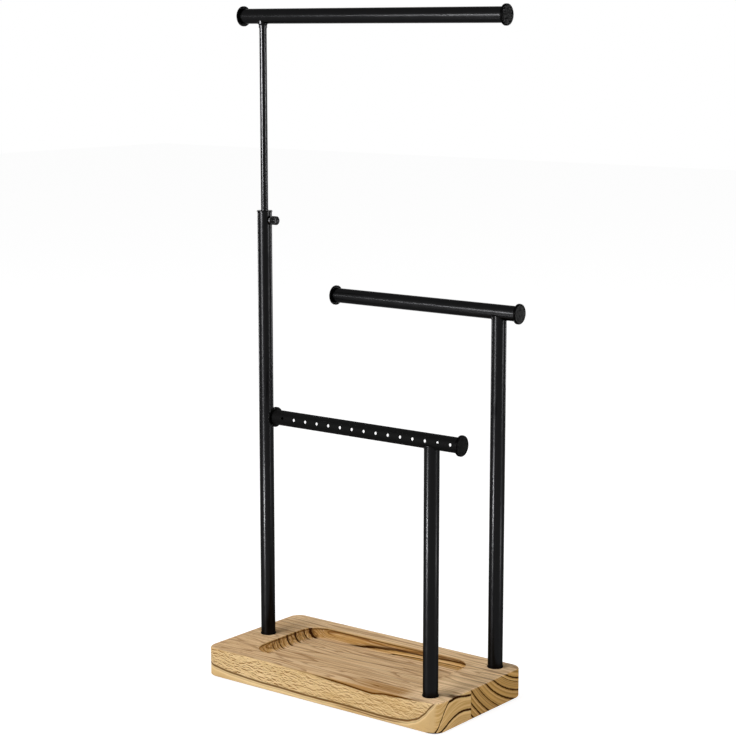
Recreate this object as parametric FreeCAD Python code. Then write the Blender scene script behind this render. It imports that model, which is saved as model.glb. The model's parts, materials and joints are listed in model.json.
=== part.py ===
"""Three-tier jewellery stand: a wooden base with a routed tray and three steel T-bars.

Frame: +X runs along the base's long side, from the tall post to the two short posts.
+Y runs to the back and +Z up. The origin is the centre of the wooden base's underside.
The height-adjustable T-bar is modelled at the height at which the stand is used.
"""
import FreeCAD, Part
import math
import os
from FreeCAD import Vector

# ---------------------------------------------------------------- driving sizes, mm
# Wooden base and the tray routed into its top
BASE_LENGTH = 250.0
BASE_WIDTH = 125.0
BASE_THICKNESS = 25.4
BASE_CORNER_RADIUS = 10.5
BASE_TOP_EASE = 1.6
BASE_BOTTOM_EASE = 0.8
TRAY_LENGTH = 177.0
TRAY_WIDTH = 88.0
TRAY_DEPTH = 9.0
TRAY_OFFSET_X = -1.3
TRAY_CORNER_RADIUS = 19.0
TRAY_COVE_RADIUS = 7.5
TRAY_RIM_EASE = 0.5

# Anti-slip pads under the base
PAD_DIAMETER = 14.0
PAD_THICKNESS = 1.0
PAD_EDGE_CHAMFER = 0.3
PAD_END_INSET = 41.0
PAD_SIDE_INSET = 13.0

# Where the posts stand: distances from the base's edges to the post axes
POST_END_INSET = 18.3
SHORT_POST_SIDE_INSET = 16.0

# Half-inch tube of the posts and bars, and the quarter-inch rod that slides in the tall post
TUBE_DIAMETER = 12.7
TUBE_WALL = 1.0
ROD_DIAMETER = 6.35

# Heights over the base's top face, and the raise of the top bar over the tall post's rim
TALL_TUBE_RIM_HEIGHT = 377.6
MID_BAR_HEIGHT = 303.6
EARRING_BAR_HEIGHT = 210.6
TOP_BAR_RAISE = 166.0

# Bars: length over the end caps, and how far the short end stands out from the post axis
TOP_BAR_LENGTH = 272.5
TOP_BAR_OVERHANG = 22.8
SHORT_BAR_LENGTH = 194.0
MID_BAR_OVERHANG = 20.8
EARRING_BAR_OVERHANG = 29.8

# End caps
CAP_DIAMETER = 17.0
CAP_THICKNESS = 2.0
CAP_EDGE_ROUND = 0.7
CAP_SPIGOT_LENGTH = 3.5
CAP_SPIGOT_LEAD = 0.6
CAP_SPIGOT_WALL = 1.2
PLUG_FIT = 0.02

# Row of earring holes in the front of the lower bar, and the open slot along its back
EARRING_HOLE_COUNT = 15
EARRING_HOLE_DIAMETER = 2.7
EARRING_HOLE_PITCH = 12.3
EARRING_HOLE_END_MARGIN = 6.0
EARRING_ROW_TILT_DEG = 9.0
BACK_SLOT_HEIGHT = 9.0
BACK_SLOT_END_LAND = 2.0

# Threaded plug in each post's foot, with the lip that stands on the wood
FOOT_LIP_DIAMETER = 13.6
FOOT_LIP_THICKNESS = 1.0
FOOT_PLUG_LENGTH = 20.0
FOOT_PLUG_HOLE_DEPTH = 16.0
FOOT_PLUG_LEAD = 1.0

# Button-head screws and washers that hold the posts from below
SCREW_DIAMETER = 6.0
SCREW_LENGTH = 30.0
SCREW_HEAD_DIAMETER = 10.5
SCREW_HEAD_HEIGHT = 3.3
SCREW_HEAD_ROUND = 2.6
SCREW_POINT_CHAMFER = 1.0
SCREW_SOCKET_FLATS = 4.0
SCREW_SOCKET_DEPTH = 2.0
WASHER_DIAMETER = 13.4
WASHER_THICKNESS = 1.2
WASHER_HOLE_DIAMETER = 6.4
WOOD_HOLE_DIAMETER = 6.6
COUNTERBORE_DIAMETER = 14.6
COUNTERBORE_DEPTH = 9.0
THREAD_CLEARANCE = 0.05

# Guide bush in the tall post's rim
BUSH_FLANGE_DIAMETER = 13.5
BUSH_FLANGE_THICKNESS = 1.2
BUSH_EDGE_CHAMFER = 0.4
BUSH_LENGTH = 16.0
BUSH_LEAD = 0.5
RUNNING_CLEARANCE = 0.05

# Foot that guides the rod's lower end inside the tall post, and the screw that keeps it on
ROD_UPWARD_TRAVEL = 30.0
ROD_STOP_GAP = 0.5
GUIDE_FOOT_LENGTH = 14.0
GUIDE_FOOT_FLOOR = 2.5
GUIDE_FOOT_LEAD = 0.5
GUIDE_FOOT_RECESS_DEPTH = 3.5
GUIDE_FOOT_RECESS_DIAMETER = 7.5
FOOT_SCREW_DIAMETER = 3.0
FOOT_SCREW_LENGTH = 10.0
FOOT_SCREW_HEAD_DIAMETER = 5.5
FOOT_SCREW_HEAD_HEIGHT = 1.8
FOOT_SCREW_SLOT_WIDTH = 0.8
FOOT_SCREW_SLOT_DEPTH = 0.8

# Flared ring of weld where the rod meets the top bar
COLLAR_DIAMETER = 10.0
COLLAR_HEIGHT = 3.5
COLLAR_TOE = 0.4
COLLAR_FLARE_RADIUS = 1.3

# Thumb screw that clamps the rod
THUMB_SCREW_DEPTH = 7.0
THUMB_SCREW_DIAMETER = 4.0
THUMB_HEAD_DIAMETER = 7.6
THUMB_HEAD_LENGTH = 5.4
THUMB_NECK_DIAMETER = 5.0
THUMB_NECK_LENGTH = 0.8
THUMB_NECK_GAP = 1.4
THUMB_FLUTES = 18
THUMB_FLUTE_DIAMETER = 0.9
THUMB_EDGE_CHAMFER = 0.5
THUMB_DIMPLE_DIAMETER = 4.4
THUMB_DIMPLE_DEPTH = 0.4
THUMB_PRESS_DEPTH = 2.7
TUBE_SIDE_HOLE_DIAMETER = 4.6
TIP_DIAMETER = 3.4
TIP_LENGTH = 1.4
TIP_STEM_DIAMETER = 1.6
TIP_STEM_LENGTH = 2.4
TIP_GRIP_GAP = 0.1
TIP_SEAT_GAP = 0.05

# Fish-mouthed post tops: how far the ears stop short of the bar's axis
EAR_TRIM = 3.0

# ---------------------------------------------------------------- derived places
X = Vector(1, 0, 0)
Y = Vector(0, 1, 0)
Z = Vector(0, 0, 1)

TUBE_RADIUS = TUBE_DIAMETER / 2
TUBE_BORE_RADIUS = TUBE_RADIUS - TUBE_WALL
PLUG_RADIUS = TUBE_BORE_RADIUS - PLUG_FIT
ROD_RADIUS = ROD_DIAMETER / 2

BASE_TOP = BASE_THICKNESS
POST_X = BASE_LENGTH / 2 - POST_END_INSET
POST_Y = BASE_WIDTH / 2 - SHORT_POST_SIDE_INSET
TALL_POST = Vector(-POST_X, 0, 0)
MID_POST = Vector(POST_X, POST_Y, 0)
FRONT_POST = Vector(POST_X, -POST_Y, 0)

TUBE_FOOT = BASE_TOP + FOOT_LIP_THICKNESS
TALL_TUBE_RIM = BASE_TOP + TALL_TUBE_RIM_HEIGHT
BUSH_BOTTOM = TALL_TUBE_RIM - BUSH_LENGTH
TOP_BAR_Z = TALL_TUBE_RIM + TOP_BAR_RAISE
MID_BAR_Z = BASE_TOP + MID_BAR_HEIGHT
EARRING_BAR_Z = BASE_TOP + EARRING_BAR_HEIGHT
THUMB_SCREW_Z = TALL_TUBE_RIM - THUMB_SCREW_DEPTH

TOP_TUBE_LENGTH = TOP_BAR_LENGTH - 2 * CAP_THICKNESS
SHORT_TUBE_LENGTH = SHORT_BAR_LENGTH - 2 * CAP_THICKNESS
EARRING_TUBE_END = POST_X + EARRING_BAR_OVERHANG - CAP_THICKNESS
MID_TUBE_END = POST_X + MID_BAR_OVERHANG - CAP_THICKNESS
TOP_BAR_LEFT = Vector(TALL_POST.x - TOP_BAR_OVERHANG + CAP_THICKNESS, 0, TOP_BAR_Z)
MID_BAR_LEFT = Vector(MID_TUBE_END - SHORT_TUBE_LENGTH, MID_POST.y, MID_BAR_Z)
EARRING_BAR_LEFT = Vector(EARRING_TUBE_END - SHORT_TUBE_LENGTH, FRONT_POST.y, EARRING_BAR_Z)
SCREW_SEAT = COUNTERBORE_DEPTH - WASHER_THICKNESS

GUIDE_FOOT_TOP = BUSH_BOTTOM - ROD_UPWARD_TRAVEL - ROD_STOP_GAP
GUIDE_FOOT_BOTTOM = GUIDE_FOOT_TOP - GUIDE_FOOT_LENGTH
ROD_END = GUIDE_FOOT_BOTTOM + GUIDE_FOOT_RECESS_DEPTH + GUIDE_FOOT_FLOOR + RUNNING_CLEARANCE


# ---------------------------------------------------------------- shape helpers
def rod(diameter, start, direction, length):
    """Solid round bar from start, along direction."""
    return Part.makeCylinder(diameter / 2, length, start, direction)


def at(post, z):
    """Point on a post's axis at height z."""
    return Vector(post.x, post.y, z)


def turned(profile, start, direction):
    """Solid of revolution. profile lists the corners of a closed outline as (distance along the axis, radius).

    A third number rounds that corner with an arc of that radius.
    """
    corners = [Vector(corner[1], 0, corner[0]) for corner in profile]
    rounds = [corner[2] if len(corner) > 2 else 0 for corner in profile]
    arcs = []
    for k, here in enumerate(corners):
        back = (corners[k - 1] - here).normalize()
        ahead = (corners[(k + 1) % len(corners)] - here).normalize()
        half_angle = back.getAngle(ahead) / 2
        reach = rounds[k] / math.tan(half_angle)
        inward = (back + ahead).normalize() if rounds[k] else Vector(0, 0, 0)
        middle = here + inward * rounds[k] * (1 / math.sin(half_angle) - 1)
        arcs.append((here + back * reach, middle, here + ahead * reach))
    edges = []
    for k, (first, middle, last) in enumerate(arcs):
        if rounds[k]:
            edges.append(Part.Arc(first, middle, last).toShape())
        edges.append(Part.LineSegment(last, arcs[(k + 1) % len(arcs)][0]).toShape())
    solid = Part.Face(Part.Wire(edges)).revolve(Vector(0, 0, 0), Z, 360)
    solid.Placement = FreeCAD.Placement(start, FreeCAD.Rotation(Z, direction))
    return solid


def tube(start, direction, length):
    outer = rod(TUBE_DIAMETER, start, direction, length)
    return outer.cut(rod(2 * TUBE_BORE_RADIUS, start, direction, length))


def rounded_block(length, width, height, corner, centre):
    """Block with rounded vertical corners. centre is the middle of its lower face."""
    block = Part.makeBox(length, width, height, centre - Vector(length / 2, width / 2, 0))
    uprights = [e for e in block.Edges if abs(e.tangentAt(e.FirstParameter).z) > 0.5]
    return block.makeFillet(corner, uprights)


def level_face(shape, z):
    """The one flat face that lies at height z."""
    return next(f for f in shape.Faces if abs(f.BoundBox.ZMin - z) < 1e-4 and abs(f.BoundBox.ZMax - z) < 1e-4)


# ---------------------------------------------------------------- base
def wood_base():
    base = rounded_block(BASE_LENGTH, BASE_WIDTH, BASE_THICKNESS, BASE_CORNER_RADIUS, Vector(0, 0, 0))
    base = base.makeFillet(BASE_TOP_EASE, level_face(base, BASE_TOP).Edges)
    base = base.makeChamfer(BASE_BOTTOM_EASE, level_face(base, 0).Edges)

    floor = Vector(TRAY_OFFSET_X, 0, BASE_TOP - TRAY_DEPTH)
    tray = rounded_block(TRAY_LENGTH, TRAY_WIDTH, TRAY_DEPTH, TRAY_CORNER_RADIUS, floor)
    tray = tray.makeFillet(TRAY_COVE_RADIUS, level_face(tray, floor.z).Edges)
    base = base.cut(tray)
    top = level_face(base, BASE_TOP)
    rim = [e for wire in top.Wires if not wire.isSame(top.OuterWire) for e in wire.Edges]
    base = base.makeFillet(TRAY_RIM_EASE, rim)

    for post in (TALL_POST, MID_POST, FRONT_POST):
        base = base.cut(rod(WOOD_HOLE_DIAMETER, post, Z, BASE_THICKNESS))
        base = base.cut(rod(COUNTERBORE_DIAMETER, post, Z, COUNTERBORE_DEPTH))
    return base


def base_pad(side_x, side_y):
    """Pad near a corner of the base. side_x and side_y are -1 or 1."""
    x = side_x * (BASE_LENGTH / 2 - PAD_END_INSET)
    y = side_y * (BASE_WIDTH / 2 - PAD_SIDE_INSET)
    radius = PAD_DIAMETER / 2
    profile = [
        (0, 0),
        (0, radius),
        (PAD_THICKNESS - PAD_EDGE_CHAMFER, radius),
        (PAD_THICKNESS, radius - PAD_EDGE_CHAMFER),
        (PAD_THICKNESS, 0),
    ]
    return turned(profile, Vector(x, y, 0), -Z)


# ---------------------------------------------------------------- posts and their feet
def foot_plug(post):
    """Plug in a tube's lower end: a lip under the tube, a spigot in it and a tapped hole from below."""
    hole = SCREW_DIAMETER / 2
    lip = FOOT_LIP_DIAMETER / 2
    top = FOOT_LIP_THICKNESS + FOOT_PLUG_LENGTH
    profile = [
        (0, hole),
        (0, lip),
        (FOOT_LIP_THICKNESS, lip),
        (FOOT_LIP_THICKNESS, PLUG_RADIUS),
        (top - FOOT_PLUG_LEAD, PLUG_RADIUS),
        (top, PLUG_RADIUS - FOOT_PLUG_LEAD),
        (top, 0),
        (FOOT_PLUG_HOLE_DEPTH, 0),
        (FOOT_PLUG_HOLE_DEPTH, hole),
    ]
    return turned(profile, at(post, BASE_TOP), Z)


def base_screw(post):
    """Button-head screw from below, its hexagon socket open downwards."""
    shank = SCREW_DIAMETER / 2 - THREAD_CLEARANCE
    head = SCREW_HEAD_DIAMETER / 2
    profile = [
        (-SCREW_HEAD_HEIGHT, 0),
        (-SCREW_HEAD_HEIGHT, head, SCREW_HEAD_ROUND),
        (0, head),
        (0, shank),
        (SCREW_LENGTH - SCREW_POINT_CHAMFER, shank),
        (SCREW_LENGTH, shank - SCREW_POINT_CHAMFER),
        (SCREW_LENGTH, 0),
    ]
    screw = turned(profile, at(post, SCREW_SEAT), Z)
    across_corners = SCREW_SOCKET_FLATS / math.cos(math.pi / 6)
    corners = [Vector(across_corners / 2, 0, 0)]
    for k in range(5):
        corners.append(FreeCAD.Rotation(Z, 60).multVec(corners[-1]))
    hexagon = Part.Face(Part.makePolygon(corners + corners[:1]))
    socket = hexagon.extrude(Z * SCREW_SOCKET_DEPTH)
    socket.translate(at(post, SCREW_SEAT - SCREW_HEAD_HEIGHT))
    return screw.cut(socket)


def base_washer(post):
    ring = rod(WASHER_DIAMETER, at(post, SCREW_SEAT), Z, WASHER_THICKNESS)
    return ring.cut(rod(WASHER_HOLE_DIAMETER, at(post, SCREW_SEAT), Z, WASHER_THICKNESS))


def coped_post(post, bar_z):
    """Short post: a tube from its foot plug up to the bar, fish-mouthed to sit round the bar's underside."""
    length = bar_z - EAR_TRIM - TUBE_FOOT
    bar = rod(TUBE_DIAMETER, at(post, bar_z) - X * TUBE_DIAMETER, X, 2 * TUBE_DIAMETER)
    return tube(at(post, TUBE_FOOT), Z, length).cut(bar)


def tall_post_tube():
    post = tube(at(TALL_POST, TUBE_FOOT), Z, TALL_TUBE_RIM - TUBE_FOOT)
    return post.cut(rod(TUBE_SIDE_HOLE_DIAMETER, at(TALL_POST, THUMB_SCREW_Z), X, TUBE_DIAMETER))


# ---------------------------------------------------------------- bars and caps
def earring_bar_tube():
    """Lower bar: holes in its front wall for earrings, and a slot along its back to reach inside.

    The bar is turned about its axis, so the holes look slightly up and the slot slightly down.
    """
    bar = tube(EARRING_BAR_LEFT, X, SHORT_TUBE_LENGTH)
    first_hole = EARRING_TUBE_END - EARRING_HOLE_END_MARGIN
    hole_xs = [first_hole - k * EARRING_HOLE_PITCH for k in range(EARRING_HOLE_COUNT)]
    for x in hole_xs:
        centre = Vector(x, FRONT_POST.y, EARRING_BAR_Z)
        bar = bar.cut(rod(EARRING_HOLE_DIAMETER, centre, -Y, TUBE_DIAMETER))
    slot_right = EARRING_TUBE_END - CAP_SPIGOT_LENGTH - BACK_SLOT_END_LAND
    slot_left = EARRING_BAR_LEFT.x + CAP_SPIGOT_LENGTH + BACK_SLOT_END_LAND
    corner = Vector(slot_left, FRONT_POST.y, EARRING_BAR_Z - BACK_SLOT_HEIGHT / 2)
    bar = bar.cut(Part.makeBox(slot_right - slot_left, TUBE_DIAMETER, BACK_SLOT_HEIGHT, corner))
    bar.rotate(at(FRONT_POST, EARRING_BAR_Z), X, -EARRING_ROW_TILT_DEG)
    return bar


def end_cap(face, outward):
    """Round cap. face is the middle of the tube's end, outward the way the cap looks."""
    disc = CAP_DIAMETER / 2
    bore = PLUG_RADIUS - CAP_SPIGOT_WALL
    profile = [
        (-CAP_SPIGOT_LENGTH, bore),
        (-CAP_SPIGOT_LENGTH, PLUG_RADIUS - CAP_SPIGOT_LEAD),
        (-CAP_SPIGOT_LENGTH + CAP_SPIGOT_LEAD, PLUG_RADIUS),
        (0, PLUG_RADIUS),
        (0, disc),
        (CAP_THICKNESS, disc, CAP_EDGE_ROUND),
        (CAP_THICKNESS, 0),
        (0, 0),
        (0, bore),
    ]
    return turned(profile, face, outward)


def bar_caps(name, left, length):
    """Both caps of the bar whose tube starts at left."""
    right = left + X * length
    return {name + "_cap_left": end_cap(left, -X), name + "_cap_right": end_cap(right, X)}


# ---------------------------------------------------------------- height adjustment
def guide_bush():
    """Flanged bush in the tall post's rim, threaded on one side for the thumb screw."""
    bore = ROD_RADIUS + RUNNING_CLEARANCE
    flange = BUSH_FLANGE_DIAMETER / 2
    profile = [
        (-BUSH_LENGTH, bore),
        (-BUSH_LENGTH, PLUG_RADIUS - BUSH_LEAD),
        (-BUSH_LENGTH + BUSH_LEAD, PLUG_RADIUS),
        (0, PLUG_RADIUS),
        (0, flange),
        (BUSH_FLANGE_THICKNESS - BUSH_EDGE_CHAMFER, flange),
        (BUSH_FLANGE_THICKNESS, flange - BUSH_EDGE_CHAMFER),
        (BUSH_FLANGE_THICKNESS, bore),
    ]
    bush = turned(profile, at(TALL_POST, TALL_TUBE_RIM), Z)
    return bush.cut(rod(THUMB_SCREW_DIAMETER, at(TALL_POST, THUMB_SCREW_Z), X, TUBE_DIAMETER))


def rod_guide_foot():
    """Sleeve on the rod's lower end: it slides in the tall post and lets the rod turn."""
    outer = TUBE_BORE_RADIUS - RUNNING_CLEARANCE
    ledge = GUIDE_FOOT_RECESS_DEPTH + GUIDE_FOOT_FLOOR
    rod_bore = ROD_RADIUS + RUNNING_CLEARANCE
    screw_bore = FOOT_SCREW_DIAMETER / 2 + RUNNING_CLEARANCE
    recess = GUIDE_FOOT_RECESS_DIAMETER / 2
    profile = [
        (0, recess),
        (0, outer - GUIDE_FOOT_LEAD),
        (GUIDE_FOOT_LEAD, outer),
        (GUIDE_FOOT_LENGTH - GUIDE_FOOT_LEAD, outer),
        (GUIDE_FOOT_LENGTH, outer - GUIDE_FOOT_LEAD),
        (GUIDE_FOOT_LENGTH, rod_bore),
        (ledge, rod_bore),
        (ledge, screw_bore),
        (GUIDE_FOOT_RECESS_DEPTH, screw_bore),
        (GUIDE_FOOT_RECESS_DEPTH, recess),
    ]
    return turned(profile, at(TALL_POST, GUIDE_FOOT_BOTTOM), Z)


def inner_rod():
    """Rod from its tapped lower end up through the top bar's lower wall, welded in."""
    length = TOP_BAR_Z - ROD_END
    shaft = rod(ROD_DIAMETER, at(TALL_POST, ROD_END), Z, length)
    tapped_hole = rod(FOOT_SCREW_DIAMETER, at(TALL_POST, ROD_END), Z, FOOT_SCREW_LENGTH)
    return shaft.cut(tapped_hole)


def rod_foot_screw():
    """Slotted screw whose shoulder seats on the rod's end and leaves the foot free to turn."""
    radius = FOOT_SCREW_DIAMETER / 2
    seat = GUIDE_FOOT_BOTTOM + GUIDE_FOOT_RECESS_DEPTH - RUNNING_CLEARANCE
    top = ROD_END + FOOT_SCREW_LENGTH - radius
    shank = rod(FOOT_SCREW_DIAMETER - 2 * THREAD_CLEARANCE, at(TALL_POST, seat), Z, top - seat)
    head = rod(FOOT_SCREW_HEAD_DIAMETER, at(TALL_POST, seat), -Z, FOOT_SCREW_HEAD_HEIGHT)
    screw = head.fuse(shank).removeSplitter()
    low = seat - FOOT_SCREW_HEAD_HEIGHT
    half = FOOT_SCREW_HEAD_DIAMETER / 2
    corner = at(TALL_POST, low) - Vector(half, FOOT_SCREW_SLOT_WIDTH / 2, 0)
    slot = Part.makeBox(FOOT_SCREW_HEAD_DIAMETER, FOOT_SCREW_SLOT_WIDTH, FOOT_SCREW_SLOT_DEPTH, corner)
    return screw.cut(slot)


def top_bar_tube():
    bar = tube(TOP_BAR_LEFT, X, TOP_TUBE_LENGTH)
    return bar.cut(rod(ROD_DIAMETER, at(TALL_POST, TOP_BAR_Z), -Z, TUBE_DIAMETER))


def rod_collar():
    """Flared ring of weld between the rod and the bar's underside, hollowed to fit round the bar."""
    toe = ROD_RADIUS + COLLAR_TOE
    rim = COLLAR_DIAMETER / 2
    top = COLLAR_HEIGHT + TUBE_RADIUS
    profile = [
        (0, ROD_RADIUS),
        (0, toe),
        (COLLAR_HEIGHT, toe, COLLAR_FLARE_RADIUS),
        (COLLAR_HEIGHT, rim),
        (top, rim),
        (top, ROD_RADIUS),
    ]
    ring = turned(profile, at(TALL_POST, TOP_BAR_Z - top), Z)
    return ring.cut(rod(TUBE_DIAMETER, at(TALL_POST, TOP_BAR_Z) - X * TUBE_DIAMETER, X, 2 * TUBE_DIAMETER))


# ---------------------------------------------------------------- thumb screw
TIP_FACE = TALL_POST + Vector(ROD_RADIUS + TIP_GRIP_GAP, 0, THUMB_SCREW_Z)
STUD_END = TIP_FACE + X * (TIP_LENGTH + TIP_SEAT_GAP)
NECK_FACE = TALL_POST + Vector(TUBE_RADIUS + THUMB_NECK_GAP, 0, THUMB_SCREW_Z)


def thumb_screw_tip():
    """Soft tip that bears on the rod, its stem held in the stud's end."""
    pad = TIP_DIAMETER / 2
    stem = TIP_STEM_DIAMETER / 2
    profile = [(0, 0), (0, pad), (TIP_LENGTH, pad), (TIP_LENGTH, stem),
               (TIP_LENGTH + TIP_STEM_LENGTH, stem), (TIP_LENGTH + TIP_STEM_LENGTH, 0)]
    return turned(profile, TIP_FACE, X)


def thumb_screw_stud():
    """Threaded stud from the tip's seat to the neck, and on into the head."""
    length = NECK_FACE.x - STUD_END.x + THUMB_NECK_LENGTH + THUMB_PRESS_DEPTH
    stud = rod(THUMB_SCREW_DIAMETER - 2 * THREAD_CLEARANCE, STUD_END, X, length)
    socket_depth = TIP_STEM_LENGTH + RUNNING_CLEARANCE
    socket = rod(TIP_STEM_DIAMETER + 2 * RUNNING_CLEARANCE, STUD_END, X, socket_depth)
    return stud.cut(socket)


def thumb_screw_head():
    """Fluted head with a shallow dimple in its face, pressed on the stud."""
    radius = THUMB_HEAD_DIAMETER / 2
    bore = THUMB_SCREW_DIAMETER / 2 - THREAD_CLEARANCE
    dimple = THUMB_DIMPLE_DIAMETER / 2
    neck = THUMB_NECK_LENGTH
    face = neck + THUMB_HEAD_LENGTH
    profile = [
        (0, bore),
        (0, THUMB_NECK_DIAMETER / 2),
        (neck, THUMB_NECK_DIAMETER / 2),
        (neck, radius - THUMB_EDGE_CHAMFER),
        (neck + THUMB_EDGE_CHAMFER, radius),
        (face - THUMB_EDGE_CHAMFER, radius),
        (face, radius - THUMB_EDGE_CHAMFER),
        (face, dimple),
        (face - THUMB_DIMPLE_DEPTH, dimple - THUMB_DIMPLE_DEPTH),
        (face - THUMB_DIMPLE_DEPTH, 0),
        (neck + THUMB_PRESS_DEPTH, 0),
        (neck + THUMB_PRESS_DEPTH, bore),
    ]
    head = turned(profile, NECK_FACE, X)
    for k in range(THUMB_FLUTES):
        around = FreeCAD.Rotation(X, 360 * k / THUMB_FLUTES)
        flute_start = NECK_FACE + X * neck + around.multVec(Y * radius)
        head = head.cut(rod(THUMB_FLUTE_DIAMETER, flute_start, X, THUMB_HEAD_LENGTH))
    return head


# ---------------------------------------------------------------- assembly
def build():
    parts = {"wood_base": wood_base()}
    corners = {"front_left": (-1, -1), "front_right": (1, -1), "back_left": (-1, 1), "back_right": (1, 1)}
    for name, (side_x, side_y) in corners.items():
        parts["base_pad_" + name] = base_pad(side_x, side_y)

    for name, post in (("tall", TALL_POST), ("mid", MID_POST), ("front", FRONT_POST)):
        parts[name + "_post_plug"] = foot_plug(post)
        parts[name + "_post_washer"] = base_washer(post)
        parts[name + "_post_screw"] = base_screw(post)
    parts["tall_post_tube"] = tall_post_tube()
    parts["mid_post_tube"] = coped_post(MID_POST, MID_BAR_Z)
    parts["front_post_tube"] = coped_post(FRONT_POST, EARRING_BAR_Z)

    parts["mid_bar_tube"] = tube(MID_BAR_LEFT, X, SHORT_TUBE_LENGTH)
    parts.update(bar_caps("mid_bar", MID_BAR_LEFT, SHORT_TUBE_LENGTH))
    parts["earring_bar_tube"] = earring_bar_tube()
    parts.update(bar_caps("earring_bar", EARRING_BAR_LEFT, SHORT_TUBE_LENGTH))

    parts["guide_bush"] = guide_bush()
    parts["rod_guide_foot"] = rod_guide_foot()
    parts["rod_foot_screw"] = rod_foot_screw()
    parts["inner_rod"] = inner_rod()
    parts["rod_collar"] = rod_collar()
    parts["top_bar_tube"] = top_bar_tube()
    parts.update(bar_caps("top_bar", TOP_BAR_LEFT, TOP_TUBE_LENGTH))

    parts["thumb_screw_tip"] = thumb_screw_tip()
    parts["thumb_screw_stud"] = thumb_screw_stud()
    parts["thumb_screw_head"] = thumb_screw_head()
    return parts


os.makedirs("parts", exist_ok=True)
for node, shape in build().items():
    if len(shape.Solids) != 1 or not shape.isValid():
        raise ValueError(node + " is not one valid solid")
    shape.Solids[0].exportStep("parts/" + node + ".step")
    print(f"{node:26s} {shape.Volume:12.1f} mm3")
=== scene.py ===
"""Looks for the three-tier jewellery stand: wooden base with a routed tray, three black steel T-bars.

The part's own frame: +X from the tall post to the short posts, +Y back, +Z up, origin at the centre of the
wooden base's underside. Meshes are built in metres; material fields work in millimetres.
"""
import json
import math

import bmesh
import bpy
from mathutils import Matrix, Vector


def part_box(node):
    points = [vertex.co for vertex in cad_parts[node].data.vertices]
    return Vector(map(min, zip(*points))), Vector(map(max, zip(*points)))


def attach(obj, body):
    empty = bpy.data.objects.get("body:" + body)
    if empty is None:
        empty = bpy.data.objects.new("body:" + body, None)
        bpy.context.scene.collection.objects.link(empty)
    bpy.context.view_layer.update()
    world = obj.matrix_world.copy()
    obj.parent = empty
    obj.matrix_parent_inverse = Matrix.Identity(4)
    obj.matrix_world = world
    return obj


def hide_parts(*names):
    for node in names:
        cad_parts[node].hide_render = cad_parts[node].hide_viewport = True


MM = 0.001
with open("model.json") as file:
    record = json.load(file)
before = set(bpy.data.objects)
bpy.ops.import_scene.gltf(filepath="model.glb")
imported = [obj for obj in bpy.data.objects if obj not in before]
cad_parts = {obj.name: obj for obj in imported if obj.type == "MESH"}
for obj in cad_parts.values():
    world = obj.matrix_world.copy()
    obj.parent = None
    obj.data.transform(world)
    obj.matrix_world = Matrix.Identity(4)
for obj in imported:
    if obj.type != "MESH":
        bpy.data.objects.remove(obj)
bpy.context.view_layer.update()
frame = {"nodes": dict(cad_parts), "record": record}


# ---------------------------------------------------------------- sizes read from the frame
def middle(node):
    low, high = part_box(node)
    return (low + high) / 2


def size(node):
    low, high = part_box(node)
    return high - low


def lying_axis(node):
    """Point at x = 0 on the axis of a node that lies along X."""
    centre = middle(node)
    return Vector((0, centre.y, centre.z))


def upright_axis(node):
    """Point at z = 0 on the axis of a node that stands upright."""
    centre = middle(node)
    return Vector((centre.x, centre.y, 0))


TUBE_RADIUS = size("top_bar_tube").z / 2
TUBE_WALL = 1.0 * MM
BORE_RADIUS = TUBE_RADIUS - TUBE_WALL
ROD_RADIUS = size("inner_rod").x / 2
BASE_TOP = size("wood_base").z
FLOOR_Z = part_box("base_pad_front_left")[0].z

# Wooden base, as in the part's source
TRAY_LENGTH = 177 * MM
TRAY_WIDTH = 88 * MM
TRAY_DEPTH = 9 * MM
TRAY_OFFSET_X = -1.3 * MM
TRAY_CORNER = 19 * MM
TRAY_COVE = 7.5 * MM
TRAY_RIM_EASE = 0.5 * MM
BASE_CORNER = 10.5 * MM
TOP_EASE = 1.6 * MM
BOTTOM_EASE = 0.8 * MM
COUNTERBORE_RADIUS = 7.3 * MM
COUNTERBORE_DEPTH = 9 * MM
WOOD_HOLE_RADIUS = 3.3 * MM

# Earring bar, as in the part's source
EARRING_HOLES = 15
EARRING_PITCH = 12.3 * MM
EARRING_HOLE_RADIUS = 1.35 * MM
EARRING_END_MARGIN = 6 * MM
BACK_SLOT_HEIGHT = 9 * MM
BACK_SLOT_END_MARGIN = 5.5 * MM
EARRING_ROW_TILT_DEG = 9

# Posts: how far under the bar's axis the ears of a fish-mouthed top end, and the thumb screw's side hole
EAR_TRIM = 3.0 * MM
SIDE_HOLE_RADIUS = 2.3 * MM


# ---------------------------------------------------------------- camera, light and floor
IMAGE_SIDE_PX = 736
FOCAL_PX = 1947.5
SENSOR_MM = 36.0
CAMERA_PLACE = Vector((0.99488, -1.27006, 0.55488))
CAMERA_YAW_DEG = 37.895
CAMERA_PITCH_DEG = 9.758
HIGHEST_AIM = 0.45
WORLD_LIGHT = 0.3
FLOOR_HALF_SIDE = 6.0
FLOOR_GAP = 0.02 * MM
FLOOR_BOUNCE = 0.8
FLOOR_SHADE = 0.32
FLOOR_GLOW = 0.88


def add_camera():
    data = bpy.data.cameras.new("camera")
    data.sensor_width = SENSOR_MM
    data.lens = FOCAL_PX * SENSOR_MM / IMAGE_SIDE_PX
    data.clip_start = 0.05
    data.clip_end = 50
    camera = bpy.data.objects.new("camera", data)
    camera.location = CAMERA_PLACE
    camera.rotation_euler = (math.radians(90 - CAMERA_PITCH_DEG), 0, math.radians(CAMERA_YAW_DEG))
    bpy.context.scene.collection.objects.link(camera)
    bpy.context.scene.camera = camera


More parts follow.
